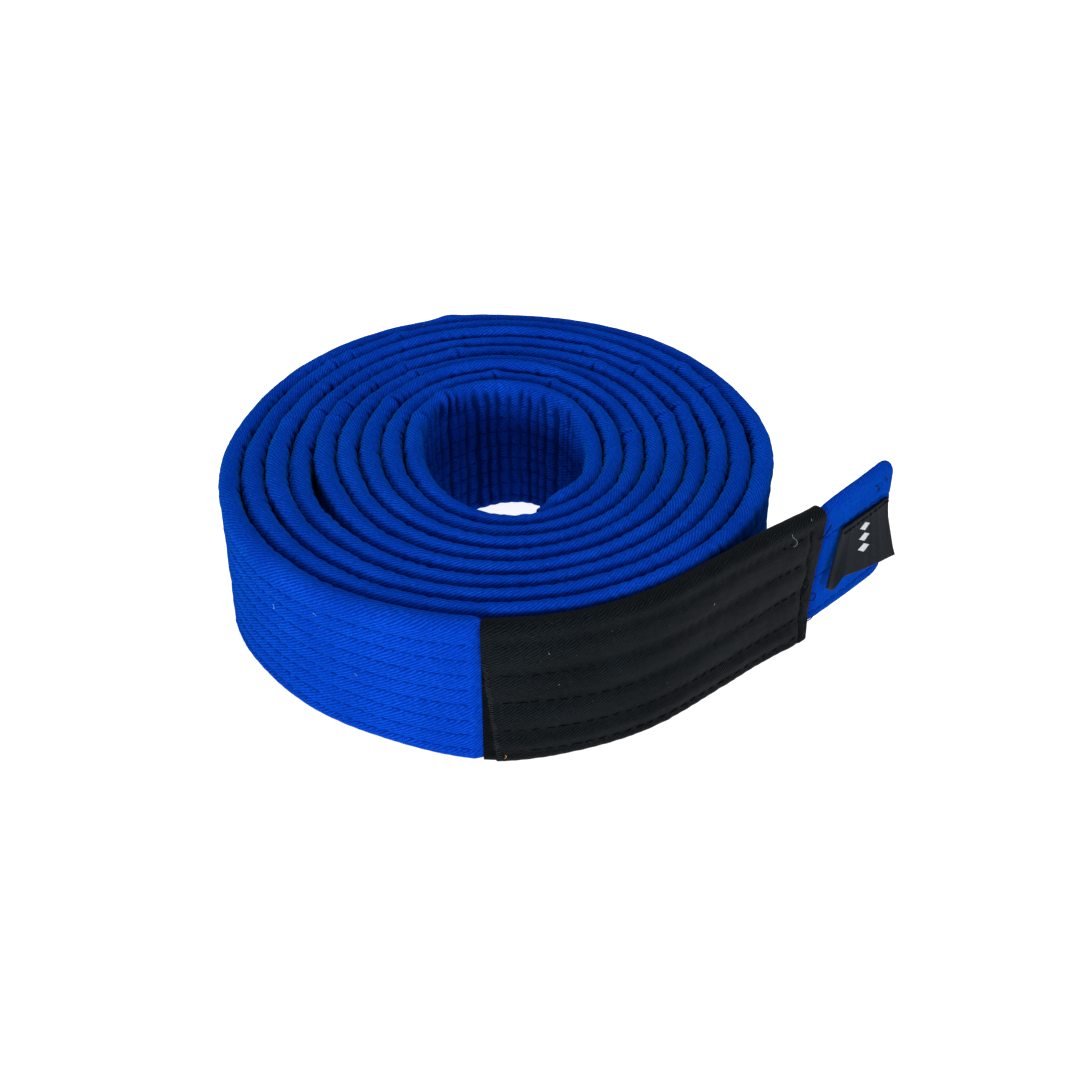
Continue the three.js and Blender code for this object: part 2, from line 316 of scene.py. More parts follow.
def settle(winding):
    """How far the cloth has settled outward from the even spiral."""
    fade = 1 - smooth(*SETTLED, winding)
    uneven = 0.14 * wander(winding, 3, 300, 25) + 0.1 * wander(winding, 4, 31, 7)
    return sum_of_bells(winding, LOOSE) + fade * uneven


def roll_point(winding):
    angle = np.radians(START_ANGLE + winding)
    direction = np.stack([np.cos(angle), np.sin(angle)], -1)
    return ROLL_CENTRE + roll_radius(winding)[..., None] * direction


def roll_heading(winding):
    step = roll_point(winding + 0.01) - roll_point(winding - 0.01)
    return np.arctan2(step[..., 1], step[..., 0])


def middle_line(winding):
    """The point, the forward and the outward direction at each winding angle."""
    winding = np.asarray(winding, float)
    past = np.maximum(0, winding - LEAVE)
    turn = np.radians(TAIL_CURVE * past)
    on_roll = np.minimum(winding, LEAVE)
    heading = roll_heading(on_roll) + turn
    chord = heading - turn / 2
    point = roll_point(on_roll)
    point = point + (TAIL_PER_DEGREE * past)[..., None] * np.stack([np.cos(chord), np.sin(chord)], -1)
    forward = np.stack([np.cos(heading), np.sin(heading)], -1)
    outward = np.stack([forward[..., 1], -forward[..., 0]], -1)
    return point + settle(winding)[..., None] * outward, forward, outward


MEASURE_AT = np.arange(0, BELT_END + 10, 0.25)
MEASURE_STEPS = np.linalg.norm(np.diff(middle_line(MEASURE_AT)[0], axis=0), axis=1)
MEASURE = np.concatenate([[0], np.cumsum(MEASURE_STEPS)])


def length_at(winding):
    """Millimetres of belt from the eye's centre line start to a winding angle."""
    return np.interp(winding, MEASURE_AT, MEASURE)


def winding_at(length):
    return np.interp(length, MEASURE, MEASURE_AT)


def room(winding, turn):
    """Half the space between this turn's middle line and the next one's, one turn outward or inward."""
    here = roll_radius(winding) + settle(winding)
    there = roll_radius(winding + turn) + settle(winding + turn)
    return np.abs(there - here) / 2 - CREASE


# ---- the relief of the quilted cloth ----

# Pinches where the top edge buckles: direction round the roll, radius, depth.
PINCHES = [
    (27, 66.5, 1.1),
    (39, 62.9, 1.2),
    (46, 51.9, 1.4),
    (59, 48.2, 1.1),
    (66, 54.5, 1.0),
    (68, 35.6, 1.5),
    (19, 44.0, 1.4),
    (10, 33.5, 1.4),
    (22, 49.8, 1.2),
    (95, 34.6, 1.6),
    (106, 52.4, 1.1),
    (118, 69.7, 1.0),
    (124, 44.7, 1.1),
    (124, 30.9, 1.2),
    (125, 54.0, 0.9),
    (133, 66.3, 0.9),
    (139, 65.5, 0.8),
    (144, 36.6, 1.2),
    (147, 29.3, 1.1),
    (155, 47.7, 1.0),
    (161, 54.0, 1.0),
    (163, 48.2, 0.9),
    (168, 58.7, 0.8),
]
PINCH_WIDTH = 0.5
LIP_WIDTH = 2.3
PINCH_COLUMNS = (-0.9, -0.55, -0.3, -0.15, 0, 0.15, 0.3, 0.55, 0.9)  # mesh columns near a pinch


def place_pinches():
    """Length along the belt and depth of each pinch, which lies on the turn nearest to its radius."""
    placed = []
    for angle, radius, depth in PINCHES:
        turns = np.array([winding_of(turn, angle) for turn in range(1, TURNS + 1)], float)
        nearest = turns[np.argmin(np.abs(roll_radius(turns) - radius))]
        placed.append((float(length_at(nearest)), depth))
    return placed


PLACED_PINCHES = place_pinches()


def row_distance(height, rows):
    """Distance to the nearest row of stitches."""
    return np.min([np.abs(height - row) for row in rows], axis=0)


def sway(length, height):
    """How far the rows and the cloth between them wander up and down."""
    inside = smooth(LOW_FOLD, LOW_FOLD + 3, height) * (1 - smooth(TOP_FOLD - 3, TOP_FOLD, height))
    return 0.3 * inside * ripple(length, 3 * height, 11, 160, 45, 5)


def puckers(length, across, winding):
    """Upright folds of the cloth where the bend squeezes it, each about a stitch wide."""
    strength = 0.2 + 1.25 * (START_RADIUS / (START_RADIUS + GROWTH * winding / WOUND)) ** 2
    wobble = 1.1 * wander(length, 23, 47, 9, 6) + 0.5 * ripple(length, across, 21, 40, 7, 6)
    swell = np.clip(0.8 + 0.2 * wander(length, 22, 31, 6), 0.45, 1.15)
    valley = (0.5 + 0.5 * np.cos(2 * np.pi * length / STITCH + wobble)) ** 1.6
    below_edge = smooth(FACE + FOLD_ARC - 1, FACE + FOLD_ARC + 4, across)
    return -strength * swell * valley * (0.2 + 0.8 * below_edge)


def scallops(length, height, side):
    """Dents that the top row's stitches pull into the edge of the fold above it."""
    wobble = 1.6 * wander(length, 26 + side, 55, 8, 6)
    valley = (0.5 + 0.5 * np.cos(2 * np.pi * length / (1.15 * STITCH) + wobble)) ** 2
    depth = (1.15 - 0.3 * side) * np.clip(0.45 + 0.35 * wander(length, 28 + side, 37, 7), 0.05, 1.0)
    on_belt = 1 - smooth(length_at(TURN_FLEX_END), length_at(SLEEVE_START), length)
    if side > 0:
        free = smooth(length_at(NO_TURN_OUTSIDE - 40), length_at(NO_TURN_OUTSIDE), length)
        on_belt = on_belt * (1 - 0.85 * free)
    return -depth * on_belt * valley * bell(height - TOP_FOLD + 1.2, 2.2)


def relief(length, height, across, winding, side):
    """How far the cloth stands off its even face. side is 1 on the outward face and -1 on the inward one."""
    on_tip = smooth(length_at(SLEEVE_END) - 10, length_at(SLEEVE_END) - 4, length)
    distance = row_distance(height, ROWS) * (1 - on_tip) + row_distance(height, TIP_ROWS) * on_tip
    in_eye = (side < 0) * (1 - smooth(NO_TURN_INSIDE - 60, NO_TURN_INSIDE, winding))
    quilted = (PAD * (1 - bell(distance, VALLEY)) - 0.1 * bell(distance, NEEDLE_LINE)) * (1 - 0.85 * in_eye)
    slack = 0.12 * ripple(length, across, 31 + side, 45, 10, 8)
    fine = 0.06 * ripple(length, across, 41 + side, 8, 2.4, 9)
    tucks = 0.06 * bell(distance, 1.6) * np.cos(2 * np.pi * length / STITCH + 2 * wander(length, 24, 50, 11))
    total = quilted + slack + fine + tucks + scallops(length, height, side)
    if side < 0:
        total = total + puckers(length, across, winding)
    return total


def pinch_at(length, below_ridge):
    """Depth of the pinches, sharp along the belt and fading away from the inner side of the ridge."""
    reach = smooth(-1.2, 1.2, below_ridge) * (1 - smooth(5, 11, below_ridge))
    lips = bell(below_ridge, 5)
    total = np.zeros(np.broadcast(length, below_ridge).shape)
    for place, depth in PLACED_PINCHES:
        near = np.abs(length - place) < 3 * LIP_WIDTH
        if near.any():
            away = length - place
            total += 0.5 * depth * bell(away, LIP_WIDTH) * lips - depth * bell(away, PINCH_WIDTH) * reach
    return total


# ---- the strip's section ----


def tip_edges(winding):
    """Lower and upper edge of the strip. The tip is narrower, and the sleeve covers the step."""
    length = length_at(winding)
    into_tip = smooth(length_at(SLEEVE_END) - 9, length_at(SLEEVE_END) - 2, length)
    pressed = smooth(length_at(SLEEVE_START) - 1, length_at(SLEEVE_START) + 3, length)
    low = 1.2 * pressed + 2.6 * into_tip + sum_of_bells(winding, SLIPS)
    from_end = length_at(BELT_END) - length
    dip = bell(length - length_at(SLEEVE_END), 9)
    high = BELT_WIDTH - 2.6 * pressed - 1.7 * dip + 0.5 * smooth(18, 4, from_end)
    into_corner = np.maximum(0, TIP_CORNER - from_end)
    cut = TIP_CORNER - np.sqrt(np.maximum(0, TIP_CORNER**2 - into_corner**2))
    tuck = 3.4 * (1 - smooth(0, 9, length - length_at(BELT_START))) ** 1.5
    return low + 0.8 * cut, high - cut - tuck


def thickness_share(winding):
    """Share of the usual thickness: less in the sleeve and the tip, rounded off at both ends of the belt."""
    length = length_at(winding)
    pressed = smooth(length_at(SLEEVE_START) - 2.5, length_at(SLEEVE_START) + 0.6, length)
    share = 1 - 0.56 * pressed + 0.26 * smooth(length_at(SLEEVE_END) - 1, length_at(SLEEVE_END) + 6, length)
    for end in (BELT_START, BELT_END):
        inside = np.clip(1 - np.abs(length - length_at(end)) / END_ROUND, 0, 1)
        share = share * (END_HALF + (1 - END_HALF) * np.sqrt(1 - inside**2))
    return share


def face_half(winding, side, height):
    """Distance of an even face from the middle line. The edges are puffed, as far as the next turn allows."""
    free = smooth(TAIL_PARTS, TAIL_GONE, winding) if side > 0 else winding < NO_TURN_INSIDE
    space = room(winding, side * TURN) * (1 - free) + FREE_FOLD_HALF * free
    puffed = np.maximum(smooth(ROWS[0] + 0.5, TOP_FOLD, height), 1 - smooth(LOW_FOLD - 1, ROWS[-1], height))
    half = FACE_HALF + (FOLD_HALF - PAD - FACE_HALF) * puffed
    return np.minimum(half, space - PAD) * thickness_share(winding)


def real_height(winding, nominal):
    """Height above the floor of a place whose height on the flat strip is nominal."""
    low, high = tip_edges(winding)
    rise = sum_of_bells(winding, RISES)
    slope = 0.25 * wander(winding, 5, 700, 90) * (1 - smooth(3100, 3200, winding))
    lift = rise + slope
    width = high - low + np.minimum(lift, 0)
    return low + np.maximum(lift, 0) + nominal / BELT_WIDTH * width


def face_points(winding, heights, side):
    """Offset, height and cloth coordinate over one face, and how far it lies down, which sets the painted
    shade.
    """
    winding = winding[:, None]
    length = length_at(winding)
    heights = heights[None, :]
    across = heights - LOW_FOLD if side > 0 else FACE + FOLD_ARC + (TOP_FOLD - heights)
    stand = relief(length, heights, across, winding, side) * thickness_share(winding)
    if side < 0:
        stand = stand + pinch_at(length, across - RIDGE)
    offset = side * (face_half(winding, side, heights) + stand)
    height = real_height(winding, heights + sway(length, heights))
    return offset, height, across + 0 * length, np.maximum(0, -stand)


def fold_points(winding, steps, top):
    """The same over a long edge: outward face to inward face at the top, or back again at the bottom."""
    winding = winding[:, None]
    length = length_at(winding)
    angle = (np.arange(1, steps) / steps * np.pi)[None, :]
    share = angle / np.pi if top else 1 - angle / np.pi
    edge = TOP_FOLD if top else LOW_FOLD
    across = FACE + angle * FOLD if top else 2 * FACE + FOLD_ARC + angle * FOLD
    outer_across = FACE if top else 2 * FACE + 2 * FOLD_ARC
    inner_across = FACE + FOLD_ARC if top else 2 * FACE + FOLD_ARC
    outer = face_half(winding, 1, edge)
    inner = face_half(winding, -1, edge)
    blend = smooth(0.3, 0.9, share)
    stand = (1 - blend) * relief(length, edge, outer_across, winding, 1)
    stand = stand + blend * relief(length, edge, inner_across, winding, -1)
    turned = share * np.pi
    calm = 1 - RIDGE_CALM * np.sin(turned)
    stand = stand * calm * thickness_share(winding)
    if top:
        stand = stand + pinch_at(length, across - RIDGE)
    offset = (outer - inner) / 2 + ((outer + inner) / 2 + stand) * np.cos(turned)
    reach = (FOLD + stand) * np.sin(turned)
    height = edge + reach if top else edge - reach
    height = real_height(winding, np.clip(height, 0, None))
    return offset, height, across + 0 * length, np.maximum(0, -stand)


def fine_rows(rows, offsets):
    """Heights of mesh rows round each row of stitches, between the two folds."""
    heights = [row + offset for row in rows for offset in offsets]
    heights += [LOW_FOLD, LOW_FOLD + 0.7, TOP_FOLD, TOP_FOLD - 0.8, TOP_FOLD - 1.6, TOP_FOLD - 2.4]
    return np.array(sorted(h for h in heights if LOW_FOLD <= h <= TOP_FOLD))


SHOWN_FACE = fine_rows(ROWS, (-2.35, -1.7, -1.1, -0.65, -0.3, 0, 0.3, 0.65, 1.1, 1.7))
HIDDEN_FACE = fine_rows(ROWS, (-2.35, -0.9, 0, 0.9))


def strip_grid(winding, outer_heights, inner_heights):
    """Points of a stretch of strip, columns by ring, with their places along and across the cloth and how far
    each lies down in a fold or a row of stitches, which the material paints as shade."""
    sections = [
        face_points(winding, outer_heights, 1),
        fold_points(winding, 14, True),
        face_points(winding, inner_heights[::-1], -1),
        fold_points(winding, 8, False),
    ]
    offset, height, across, shade_depth = (np.concatenate(parts, axis=1) for parts in zip(*sections))
    point, _, outward = middle_line(winding)
    flat = point[:, None, :] + offset[..., None] * outward[:, None, :]
    points = np.concatenate([flat, height[..., None]], axis=-1)
    closing = np.full((len(winding), 1), 2 * FACE + 2 * FOLD_ARC)
    across = np.concatenate([across, closing], axis=1)
    along = np.broadcast_to(length_at(winding)[:, None], across.shape)
    shade_depth = np.concatenate([shade_depth, shade_depth[:, :1]], axis=1)
    return points, np.stack([along, across, shade_depth], -1)


def columns(start, stop, step):
    """Winding angles from start to stop, a step apart along the belt and closer round each pinch."""
    first, last = length_at(start), length_at(stop)
    even = np.linspace(first, last, max(2, round((last - first) / step)) + 1)
    close = [place + away for place, _ in PLACED_PINCHES for away in PINCH_COLUMNS]
    close = [length for length in close if first + 0.5 < length < last - 0.5]
    lengths = np.sort(np.concatenate([even, close]))
    keep = np.concatenate([[True], np.diff(lengths) > 0.04])
    lengths = lengths[keep]
    lengths[-1] = last
    return winding_at(lengths)


# ---- meshes ----


def mesh_from(name, points, polygons, corner_values, flat=()):
    """A mesh object from points in millimetres and polygons as index lists in one array for each size."""
    mesh = bpy.data.meshes.new(name)
    sizes = np.concatenate([np.full(len(group), group.shape[1]) for group in polygons])
    loops = np.concatenate([group.ravel() for group in polygons])
    mesh.vertices.add(len(points))
    mesh.vertices.foreach_set("co", (points * MM).astype(np.float32).ravel())
    mesh.loops.add(len(loops))
    mesh.loops.foreach_set("vertex_index", loops.astype(np.int32))
    mesh.polygons.add(len(sizes))
    mesh.polygons.foreach_set("loop_start", np.concatenate([[0], np.cumsum(sizes)[:-1]]).astype(np.int32))
    soft = np.ones(len(sizes), bool)
    soft[list(flat)] = False
    mesh.polygons.foreach_set("use_smooth", soft)
    cloth = mesh.attributes.new("cloth", "FLOAT_VECTOR", "CORNER")
    cloth.data.foreach_set("vector", corner_values.astype(np.float32).ravel())
    mesh.update(calc_edges=True)
    made = bpy.data.objects.new(name, mesh)
    bpy.context.scene.collection.objects.link(made)
    return made


def grid_normals(points):
    """Normals of a grid of rings, without its first and last ring."""
    along = points[2:] - points[:-2]
    around = (np.roll(points, -1, axis=1) - np.roll(points, 1, axis=1))[1:-1]
    normals = np.cross(along, around)
    return normals / np.linalg.norm(normals, axis=-1, keepdims=True)


def share_normals(made, normals):
    """Give a tube normals that run on into the piece beside it. Its two flat ends keep their own."""
    vertices = np.zeros(len(made.data.loops), int)
    made.data.loops.foreach_get("vertex_index", vertices)
    corners = normals.reshape(-1, 3)[vertices]
    corners[-2 * normals.shape[1] :] = 0
    made.data.normals_split_custom_set(corners)


def tube_object(name, points, cloth, material):
    """A closed tube from a grid of rings. Its two ends are flat faces."""
    count, ring = points.shape[:2]
    vertex = np.arange(count * ring).reshape(count, ring)
    following = np.roll(vertex, -1, axis=1)
    quads = np.stack([vertex[:-1], vertex[1:], following[1:], following[:-1]], -1).reshape(-1, 4)
    values = np.stack([cloth[:-1, :-1], cloth[1:, :-1], cloth[1:, 1:], cloth[:-1, 1:]], -2).reshape(-1, 3)
    caps = np.stack([vertex[0], vertex[-1][::-1]])
    values = np.concatenate([values, cloth[0, :-1], cloth[-1, :-1][::-1]])
    flat = (len(quads), len(quads) + 1)
    made = mesh_from(name, points.reshape(-1, 3), [quads, caps], values, flat)
    made.data.materials.append(material)
    return made


# ---- materials ----


class Shades:
    """Short names for building one material's nodes."""

    def __init__(self, name):
        self.material = bpy.data.materials.new(name)
        self.material.use_nodes = True
        self.tree = self.material.node_tree
        self.shader = self.tree.nodes["Principled BSDF"]

    def put(self, socket, value):
        if isinstance(value, bpy.types.NodeSocket):
            self.tree.links.new(value, socket)
        else:
            socket.default_value = value

    def node(self, kind, output=0, settings=None, **inputs):
        made = self.tree.nodes.new(kind)
        for key, value in (settings or {}).items():
            setattr(made, key, value)
        for key, value in inputs.items():
            self.put(made.inputs[key.replace("_", " ")], value)
        return made.outputs[output]

    def math(self, operation, a, b=0.0, c=0.0):
        made = self.tree.nodes.new("ShaderNodeMath")
        made.operation = operation
        for socket, value in zip(made.inputs, (a, b, c)):
            self.put(socket, value)
        return made.outputs[0]

    def mix(self, share, a, b):
        made = self.tree.nodes.new("ShaderNodeMix")
        made.data_type = "RGBA"
        self.put(made.inputs["Factor"], share)
        self.put(made.inputs["A"], a)
        self.put(made.inputs["B"], b)
        return made.outputs["Result"]

    def ramp(self, value, low, high):
        made = self.tree.nodes.new("ShaderNodeMapRange")
        made.interpolation_type = "SMOOTHSTEP"
        self.put(made.inputs["Value"], value)
        made.inputs["From Min"].default_value = low
        made.inputs["From Max"].default_value = high
        return made.outputs["Result"]

    def noise(self, place, scale, detail=2.0):
        return self.node("ShaderNodeTexNoise", Vector=place, Scale=scale, Detail=detail)

    def cloth(self):
        """The cloth coordinates, and their parts: along the belt, across it, and how far down in a crease it
        lies, which sets the painted shade.
        """
        cloth = self.node("ShaderNodeAttribute", 1, {"attribute_name": "cloth"})
        apart = self.tree.nodes.new("ShaderNodeSeparateXYZ")
        self.put(apart.inputs[0], cloth)
        return cloth, apart.outputs[0], apart.outputs[1], apart.outputs[2]

    def finish(self, colour, roughness, height, relief, gloss, tint):
        self.put(self.shader.inputs["Base Color"], colour)
        self.put(self.shader.inputs["Roughness"], roughness)
        bump = self.node("ShaderNodeBump", Height=height, Strength=1.0, Distance=relief * MM)
        self.put(self.shader.inputs["Normal"], bump)
        self.shader.inputs["Specular IOR Level"].default_value = gloss
        self.shader.inputs["Specular Tint"].default_value = tint
        return self.material


def colour(red, green, blue):
    """A colour given as it looks on a screen, 0 to 255."""

    def linear(value):
        value /= 255
        return value / 12.92 if value <= 0.04045 else ((value + 0.055) / 1.055) ** 2.4

    return (linear(red), linear(green), linear(blue), 1.0)


RIB_RISE = 0.69  # how far a rib climbs across the cloth for each millimetre along it


def twill_material(name, painted_shade, dark, middle, light, fleck, rib, relief, gloss):
    """Diagonal ribs, each a little uneven along its length, with broad faded patches, specks of lint, and
    painted shade in the creases.
    """
    shades = Shades(name)
    cloth, along, across, shade_depth = shades.cloth()
    shake = shades.math("MULTIPLY", shades.math("SUBTRACT", shades.noise(cloth, 0.4, 3.0), 0.5), 0.5)
    phase = shades.math("ADD", shades.math("MULTIPLY_ADD", along, -RIB_RISE, across), shake)
    turned = shades.math("MULTIPLY", phase, 2 * math.pi / rib)
    ribs = shades.math("MULTIPLY_ADD", shades.math("SINE", turned), 0.5, 0.5)
    follow = shades.math("MULTIPLY_ADD", across, RIB_RISE, along)
    yarn_along = shades.math("MULTIPLY", follow, 0.8)
    yarn_across = shades.math("MULTIPLY", phase, 1.3)
    yarn_place = shades.node("ShaderNodeCombineXYZ", X=yarn_along, Y=yarn_across)
    yarn = shades.noise(yarn_place, 1.0, 3.0)
    grain = shades.noise(cloth, 3.4, 3.0)
    patches = shades.noise(cloth, 0.06, 3.0)
    shade = shades.math("MULTIPLY_ADD", yarn, 0.7, shades.math("MULTIPLY", ribs, 0.34))
    shade = shades.math("MULTIPLY_ADD", grain, 0.43, shade)
    base = shades.mix(shades.ramp(shade, 0.38, 0.97), dark, middle)
    lit = shades.math("MULTIPLY_ADD", patches, 0.6, shade)
    base = shades.mix(shades.math("MULTIPLY", shades.ramp(lit, 0.95, 1.4), 0.8), base, light)
    # Painted shade: the cloth darkens towards its shade colour the further it lies down in a crease, a pleat
    # or a row of stitches.
    base = shades.mix(shades.math("MULTIPLY", shades.ramp(shade_depth, 0.05, 1.0), 0.75), base, painted_shade)
    lint = shades.ramp(shades.noise(cloth, 1.7, 1.0), 0.77, 0.8)
    base = shades.mix(shades.math("MULTIPLY", lint, 0.7), base, fleck)
    height = shades.math("MULTIPLY_ADD", grain, 0.3, shades.math("MULTIPLY_ADD", yarn, 0.5, ribs))
    rough = shades.math("MULTIPLY_ADD", grain, 0.2, 0.6)
    return shades.finish(base, rough, height, relief, gloss, light)


def thread_material(name, dark, light, gloss):
    shades = Shades(name)
    _, along, around, _ = shades.cloth()
    twist = shades.math("MULTIPLY_ADD", along, 16.0, around)
    strands = shades.math("MULTIPLY_ADD", shades.math("SINE", twist), 0.5, 0.5)
    base = shades.mix(strands, dark, light)
    return shades.finish(base, 0.6, strands, 0.03, gloss, light)


def edge_shine(material, weight, tint):
    """The nap of the cloth, which catches the light where the cloth is seen edge on."""
    shader = material.node_tree.nodes["Principled BSDF"]
    shader.inputs["Sheen Weight"].default_value = weight
    shader.inputs["Sheen Roughness"].default_value = 0.4
    shader.inputs["Sheen Tint"].default_value = tint


# The first colour of each twill is painted shade, laid into its creases, pleats and stitch valleys.
BLUE = twill_material(
    "blue_twill",
    painted_shade=colour(1, 13, 58),
    dark=colour(2, 32, 113),
    middle=colour(3, 47, 152),
    light=colour(8, 67, 183),
    fleck=colour(40, 120, 200),
    rib=0.95,
    relief=0.07,
    gloss=0.0,
)
edge_shine(BLUE, 0.1, colour(0, 190, 170))
BLACK = twill_material(
    "black_twill",
    painted_shade=colour(3, 4, 5),
    dark=colour(5, 8, 10),
    middle=colour(11, 15, 18),
    light=colour(21, 26, 30),
    fleck=colour(80, 86, 90),
    rib=0.85,
    relief=0.08,
    gloss=0.1,
)
BLUE_THREAD = thread_material("blue_thread", colour(2, 24, 96), colour(3, 42, 140), 0.0)
BLACK_THREAD = thread_material("black_thread", colour(3, 3, 4), colour(12, 14, 16), 0.1)
HEM_THREAD = thread_material("hem_thread", colour(14, 17, 19), colour(52, 58, 62), 0.1)
LINT = thread_material("lint", colour(90, 98, 102), colour(150, 158, 162), 0.1)
RUST_LINT = thread_material("rust_lint", colour(150, 80, 30), colour(215, 140, 80), 0.0)
BLUE_LINT = thread_material("blue_lint", colour(60, 130, 190), colour(120, 190, 220), 0.0)


# ---- threads ----

THREAD_RINGS = np.linspace(-1, 1, 7)
THREAD_SIDES = 6


def sew(name, places, offset_of, length, thick, dip, material):
    """Runs of stitches. places holds the length along the belt and the height of each stitch's middle,
    and which face it is on. Both ends of a stitch dip into the cloth."""
    along, height, side = (np.asarray(column, float) for column in zip(*places))
    rng = np.random.default_rng(len(places))
    uneven = rng.standard_normal((5, len(places), 1)).clip(-2, 2)
    t = THREAD_RINGS[None, :]
    thick = thick * (1 + 0.1 * uneven[0])
    dip = dip * (1 + 0.25 * uneven[1])
    at = along[:, None] + 0.15 * uneven[2] + t * length / 2 * (1 + 0.1 * uneven[3])
    up = height[:, None] + (0.06 + 0.05 * uneven[4]) * t
    winding = winding_at(at)
    point, _, outward = middle_line(winding)
    face = offset_of(winding, up, side[:, None])
    stand = thick * 0.45 - dip * np.abs(t) ** 3
    radius = thick / 2 * np.sqrt(1 - 0.75 * np.abs(t) ** 6)
    turn = np.arange(THREAD_SIDES) / THREAD_SIDES * 2 * np.pi
    out = (face + side[:, None] * stand)[..., None] + radius[..., None] * np.cos(turn)
    flat = point[..., None, :] + out[..., None] * outward[..., None, :]
    real = real_height(winding, up + sway(at, up))
    tall = real[..., None] + radius[..., None] * np.sin(turn)
    points = np.concatenate([flat, tall[..., None]], -1)
    return threads_object(name, points, material)


def threads_object(name, points, material):
    """Closed tubes from an array of threads by rings by sides."""
    count, rings, sides = points.shape[:3]
    vertex = np.arange(count * rings * sides).reshape(count, rings, sides)
    following = np.roll(vertex, -1, axis=2)
    quads = np.stack([vertex[:, :-1], vertex[:, 1:], following[:, 1:], following[:, :-1]], -1).reshape(-1, 4)
    caps = np.concatenate([vertex[:, 0], vertex[:, -1, ::-1]])
    ring = np.broadcast_to(np.arange(rings)[None, :, None], vertex.shape)
    around = np.broadcast_to(np.arange(sides)[None, None, :], vertex.shape)
    values = np.stack([ring, around, 0 * ring], -1).reshape(-1, 3)
    loops = np.concatenate([quads.ravel(), caps.ravel()])
    made = mesh_from(name, points.reshape(-1, 3), [quads, caps], values[loops])
    made.data.materials.append(material)
    return made


def laid_threads(name, paths, thick, material):
    """Threads along paths given as length along the belt, height, and distance out from the middle line."""
    length, height, out = np.moveaxis(np.asarray(paths, float), -1, 0)
    point, _, outward = middle_line(winding_at(length))
    centre = np.concatenate([point + out[..., None] * outward, height[..., None]], -1)
    ahead = np.gradient(centre, axis=1)
    ahead /= np.linalg.norm(ahead, axis=-1, keepdims=True)
    across = np.concatenate([outward, 0 * height[..., None]], -1)
    across -= (across * ahead).sum(-1, keepdims=True) * ahead
    across /= np.linalg.norm(across, axis=-1, keepdims=True)
    upward = np.cross(across, ahead)
    turn = np.arange(THREAD_SIDES) / THREAD_SIDES * 2 * np.pi
    ends = np.abs(np.linspace(-1, 1, centre.shape[1]))
    radius = (thick / 2 * np.sqrt(1 - 0.75 * ends**8))[None, :, None, None]
    round_it = across[..., None, :] * np.cos(turn)[:, None] + upward[..., None, :] * np.sin(turn)[:, None]
    return threads_object(name, centre[..., None, :] + radius * round_it, material)


def belt_face(winding, height, side):
    """Where the belt's cloth lies at any place on its faces."""
    length = length_at(winding)
    across = np.where(side > 0, height - LOW_FOLD, FACE + FOLD_ARC + (TOP_FOLD - height))
    share = thickness_share(winding)
    outer = face_half(winding, 1, height) + relief(length, height, across, winding, 1) * share
    inner = face_half(winding, -1, height) + relief(length, height, across, winding, -1) * share
    return np.where(side > 0, outer, -inner)


BLUE_STITCH = {"length": 3.05, "thick": 0.22, "dip": 0.2, "material": BLUE_THREAD}
BLACK_STITCH = {"length": 2.8, "thick": 0.3, "dip": 0.36, "material": BLACK_THREAD}
HEM_STITCH = {"length": 1.3, "thick": 0.26, "dip": 0.1, "material": HEM_THREAD}
LABEL_STITCH = {"length": 1.7, "thick": 0.3, "dip": 0.25, "material": BLACK_THREAD}


def belt_stitches(name, places):
    """Rows of blue stitches on the belt's faces."""
    made = sew(name, places, belt_face, **BLUE_STITCH)
    return made


def row_places(start, stop, sides, rows=ROWS):
    """Middles of the stitches of every row between two winding angles: length, height and side."""
    first, last = length_at(start), length_at(stop)
    middles = np.arange(np.ceil(first / STITCH), np.floor(last / STITCH)) * STITCH + STITCH / 2
    return [(middle, row, side) for side in sides for row in rows for middle in middles]


# ---- the belt's pieces ----

STEP = 0.55


def strip_object(name, start, stop, outer_heights=HIDDEN_FACE, inner_heights=HIDDEN_FACE, step=STEP):
    winding = columns(start, stop, step)
    beside = winding_at(length_at(np.array([start, stop])) + np.array([-step, step]))
    winding = np.concatenate([beside[:1], winding, beside[1:]])
    points, cloth = strip_grid(winding, outer_heights, inner_heights)
    made = tube_object(name, points[1:-1], cloth[1:-1], BLUE)
    share_normals(made, grid_normals(points))
    return made


def hinge_point(winding):
    point = middle_line(np.array([winding], float))[0][0]
    return Vector((point[0], point[1], BELT_WIDTH / 2)) * MM


def bend_at(hinge, fixed_side, moving_side):
    """Where a joint's bend starts and ends, in degrees of winding from its hinge. At least half of it lies on
    the moving side."""
    return hinge_point(hinge + fixed_side), hinge_point(hinge + moving_side)


def cad_stretch(name):
    """The CAD's solids for one stretch of the strip."""
    return ("cover_" + name, "core_ply_inner_" + name, "core_ply_outer_" + name)


def make_inner_end():
    flex = strip_object("belt_inner_end", BELT_START, INNER_FLEX_END, HIDDEN_FACE, SHOWN_FACE)
    stitches = belt_stitches("inner_end_stitches", row_places(BELT_START + 8, INNER_FLEX_END, (-1,)))
    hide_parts(*cad_stretch("inner_end"))
    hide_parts("inner_hem_seam")
    for piece in (flex, stitches):
        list(bend_at(INNER_HINGE, 12, -16))
        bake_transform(piece)


